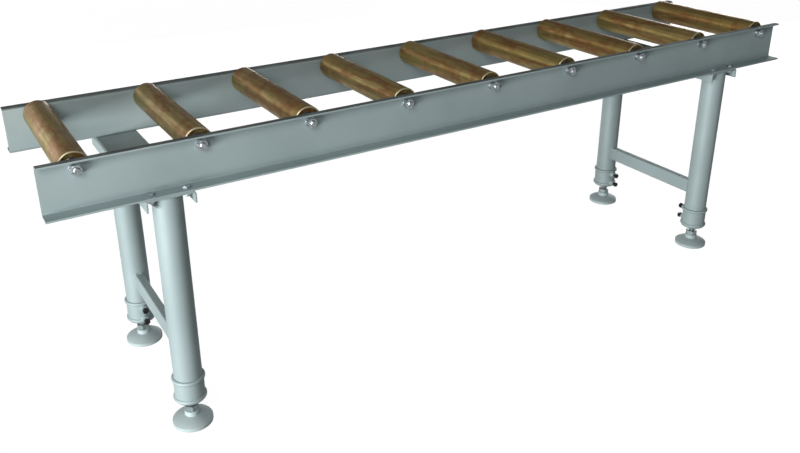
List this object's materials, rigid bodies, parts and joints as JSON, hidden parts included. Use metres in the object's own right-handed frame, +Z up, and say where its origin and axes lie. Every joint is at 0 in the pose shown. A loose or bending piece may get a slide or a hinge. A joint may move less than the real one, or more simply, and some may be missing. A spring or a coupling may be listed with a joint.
{
  "type": "roller conveyor",
  "caption": "Free-standing roller conveyor: steel rollers on fixed axles between side rails, on round telescopic legs with clamp collars, lower braces and screw levelling feet.",
  "frame": {"origin": "on the floor, under the middle of the conveyor", "axes": "+X along the side rails, +Y across to the rear rail, +Z up"},
  "size_m": [2, 0.45, 0.65],
  "materials": {
    "frame_paint": "semi-gloss grey-green paint, chipped at edges",
    "foot_paint": "satin silver-grey paint, scuffed",
    "roller_zinc": "yellow passivated zinc plate with a faint rainbow, lightly worn",
    "bright_zinc": "bright zinc plate",
    "dull_zinc": "zinc plate gone dull grey",
    "bearing_steel": "ground bearing steel",
    "black_oxide": "black oxide"
  },
  "bodies": {
    "frame": {"front_rail": "frame_paint", "rear_rail": "frame_paint", "left_cross_beam": "frame_paint", "right_cross_beam": "frame_paint", "left_brace": "frame_paint", "right_brace": "frame_paint", "axle_nuts_and_washers": "bright_zinc", "beam_bolts_and_nuts": "bright_zinc", "clamp_screws": "black_oxide", "axle_1": "bright_zinc", "axle_2": "bright_zinc", "axle_3": "bright_zinc", "axle_4": "bright_zinc", "axle_5": "bright_zinc", "axle_6": "bright_zinc", "axle_7": "bright_zinc", "axle_8": "bright_zinc", "axle_9": "bright_zinc", "left_front_leg": "frame_paint", "left_front_collar": "frame_paint", "left_rear_leg": "frame_paint", "left_rear_collar": "frame_paint", "right_front_leg": "frame_paint", "right_front_collar": "frame_paint", "right_rear_leg": "frame_paint", "right_rear_collar": "frame_paint"},
    "roller_1": {"roller_1": "roller_zinc", "roller_bearings_1": "bearing_steel"},
    "roller_2": {"roller_2": "roller_zinc", "roller_bearings_2": "bearing_steel"},
    "roller_3": {"roller_3": "roller_zinc", "roller_bearings_3": "bearing_steel"},
    "roller_4": {"roller_4": "roller_zinc", "roller_bearings_4": "bearing_steel"},
    "roller_5": {"roller_5": "roller_zinc", "roller_bearings_5": "bearing_steel"},
    "roller_6": {"roller_6": "roller_zinc", "roller_bearings_6": "bearing_steel"},
    "roller_7": {"roller_7": "roller_zinc", "roller_bearings_7": "bearing_steel"},
    "roller_8": {"roller_8": "roller_zinc", "roller_bearings_8": "bearing_steel"},
    "roller_9": {"roller_9": "roller_zinc", "roller_bearings_9": "bearing_steel"},
    "left_front_post": {"left_front_post": "dull_zinc"},
    "left_front_foot": {"left_front_foot_plate": "foot_paint"},
    "left_front_spindle": {"left_front_spindle": "dull_zinc", "left_front_spindle_nut": "dull_zinc"},
    "left_rear_post": {"left_rear_post": "dull_zinc"},
    "left_rear_foot": {"left_rear_foot_plate": "foot_paint"},
    "left_rear_spindle": {"left_rear_spindle": "dull_zinc", "left_rear_spindle_nut": "dull_zinc"},
    "right_front_post": {"right_front_post": "dull_zinc"},
    "right_front_foot": {"right_front_foot_plate": "foot_paint"},
    "right_front_spindle": {"right_front_spindle": "dull_zinc", "right_front_spindle_nut": "dull_zinc"},
    "right_rear_post": {"right_rear_post": "dull_zinc"},
    "right_rear_foot": {"right_rear_foot_plate": "foot_paint"},
    "right_rear_spindle": {"right_rear_spindle": "dull_zinc", "right_rear_spindle_nut": "dull_zinc"}
  },
  "joints": [
    {"name": "roller_1_spin", "type": "hinge", "parent": "frame", "child": "roller_1", "pos_m": [-0.932, 0, 0.62], "axis": [0, 1, 0], "continuous": true},
    {"name": "roller_2_spin", "type": "hinge", "parent": "frame", "child": "roller_2", "pos_m": [-0.699, 0, 0.62], "axis": [0, 1, 0], "continuous": true},
    {"name": "roller_3_spin", "type": "hinge", "parent": "frame", "child": "roller_3", "pos_m": [-0.466, 0, 0.62], "axis": [0, 1, 0], "continuous": true},
    {"name": "roller_4_spin", "type": "hinge", "parent": "frame", "child": "roller_4", "pos_m": [-0.233, 0, 0.62], "axis": [0, 1, 0], "continuous": true},
    {"name": "roller_5_spin", "type": "hinge", "parent": "frame", "child": "roller_5", "pos_m": [0, 0, 0.62], "axis": [0, 1, 0], "continuous": true},
    {"name": "roller_6_spin", "type": "hinge", "parent": "frame", "child": "roller_6", "pos_m": [0.233, 0, 0.62], "axis": [0, 1, 0], "continuous": true},
    {"name": "roller_7_spin", "type": "hinge", "parent": "frame", "child": "roller_7", "pos_m": [0.466, 0, 0.62], "axis": [0, 1, 0], "continuous": true},
    {"name": "roller_8_spin", "type": "hinge", "parent": "frame", "child": "roller_8", "pos_m": [0.699, 0, 0.62], "axis": [0, 1, 0], "continuous": true},
    {"name": "roller_9_spin", "type": "hinge", "parent": "frame", "child": "roller_9", "pos_m": [0.932, 0, 0.62], "axis": [0, 1, 0], "continuous": true},
    {"name": "left_front_post_slide", "type": "slide", "parent": "frame", "child": "left_front_post", "axis": [0, 0, -1], "range_m": [0, 0.25]},
    {"name": "left_front_foot_level", "type": "slide", "parent": "left_front_post", "child": "left_front_foot", "axis": [0, 0, -1], "range_m": [-0.008, 0.025]},
    {"name": "left_front_spindle_turn", "type": "hinge", "parent": "left_front_foot", "child": "left_front_spindle", "pos_m": [-0.775, -0.182, 0.032], "axis": [0, 0, -1], "range_deg": [-1440, 4500]},
    {"name": "left_rear_post_slide", "type": "slide", "parent": "frame", "child": "left_rear_post", "axis": [0, 0, -1], "range_m": [0, 0.25]},
    {"name": "left_rear_foot_level", "type": "slide", "parent": "left_rear_post", "child": "left_rear_foot", "axis": [0, 0, -1], "range_m": [-0.008, 0.025]},
    {"name": "left_rear_spindle_turn", "type": "hinge", "parent": "left_rear_foot", "child": "left_rear_spindle", "pos_m": [-0.775, 0.182, 0.032], "axis": [0, 0, -1], "range_deg": [-1440, 4500]},
    {"name": "right_front_post_slide", "type": "slide", "parent": "frame", "child": "right_front_post", "axis": [0, 0, -1], "range_m": [0, 0.25]},
    {"name": "right_front_foot_level", "type": "slide", "parent": "right_front_post", "child": "right_front_foot", "axis": [0, 0, -1], "range_m": [-0.008, 0.025]},
    {"name": "right_front_spindle_turn", "type": "hinge", "parent": "right_front_foot", "child": "right_front_spindle", "pos_m": [0.775, -0.182, 0.032], "axis": [0, 0, -1], "range_deg": [-1440, 4500]},
    {"name": "right_rear_post_slide", "type": "slide", "parent": "frame", "child": "right_rear_post", "axis": [0, 0, -1], "range_m": [0, 0.25]},
    {"name": "right_rear_foot_level", "type": "slide", "parent": "right_rear_post", "child": "right_rear_foot", "axis": [0, 0, -1], "range_m": [-0.008, 0.025]},
    {"name": "right_rear_spindle_turn", "type": "hinge", "parent": "right_rear_foot", "child": "right_rear_spindle", "pos_m": [0.775, 0.182, 0.032], "axis": [0, 0, -1], "range_deg": [-1440, 4500]}
  ],
  "couplings": [
    {"joint": "left_front_spindle_turn", "follows": "left_front_foot_level", "rad_per_m": 3141.6},
    {"joint": "left_rear_spindle_turn", "follows": "left_rear_foot_level", "rad_per_m": 3141.6},
    {"joint": "right_front_spindle_turn", "follows": "right_front_foot_level", "rad_per_m": 3141.6},
    {"joint": "right_rear_spindle_turn", "follows": "right_rear_foot_level", "rad_per_m": 3141.6}
  ]
}
